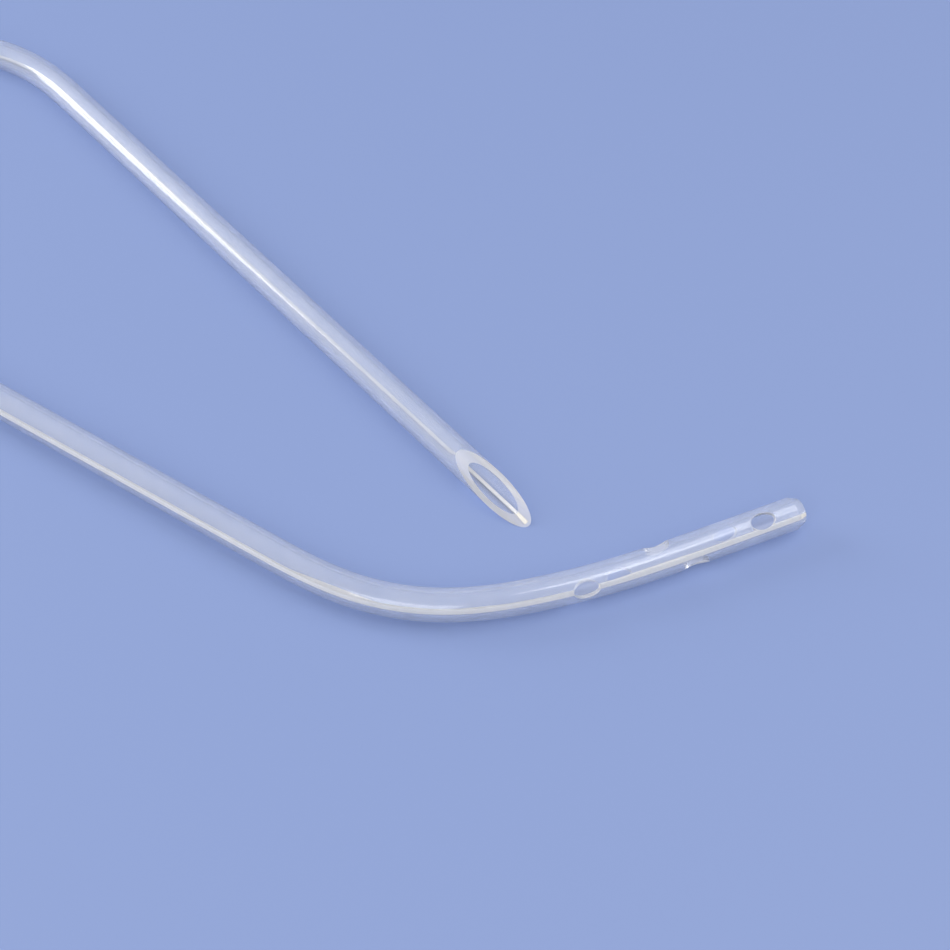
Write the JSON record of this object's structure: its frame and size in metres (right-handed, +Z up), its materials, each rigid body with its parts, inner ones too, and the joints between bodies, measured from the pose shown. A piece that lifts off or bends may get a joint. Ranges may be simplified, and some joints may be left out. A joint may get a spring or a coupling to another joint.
{
  "type": "chest tube",
  "caption": "Translucent chest drainage tube with a radiopaque stripe, oval drainage eyes behind a chamfered open tip, and a slant-cut proximal end, lying in one open loop.",
  "frame": {"origin": "on the surface that the tube lies on, under the middle of its bounding box", "axes": "+X from the loop towards the perforated tip along the longest side, +Y across the loop, +Z up"},
  "size_m": [0.2176, 0.157, 0.006],
  "materials": {
    "clear_pvc": "soft clear PVC, extruded, slightly milky, with an opaque cream stripe in the wall"
  },
  "bodies": {
    "root": {"drainage_tube": "clear_pvc"}
  },
  "joints": []
}
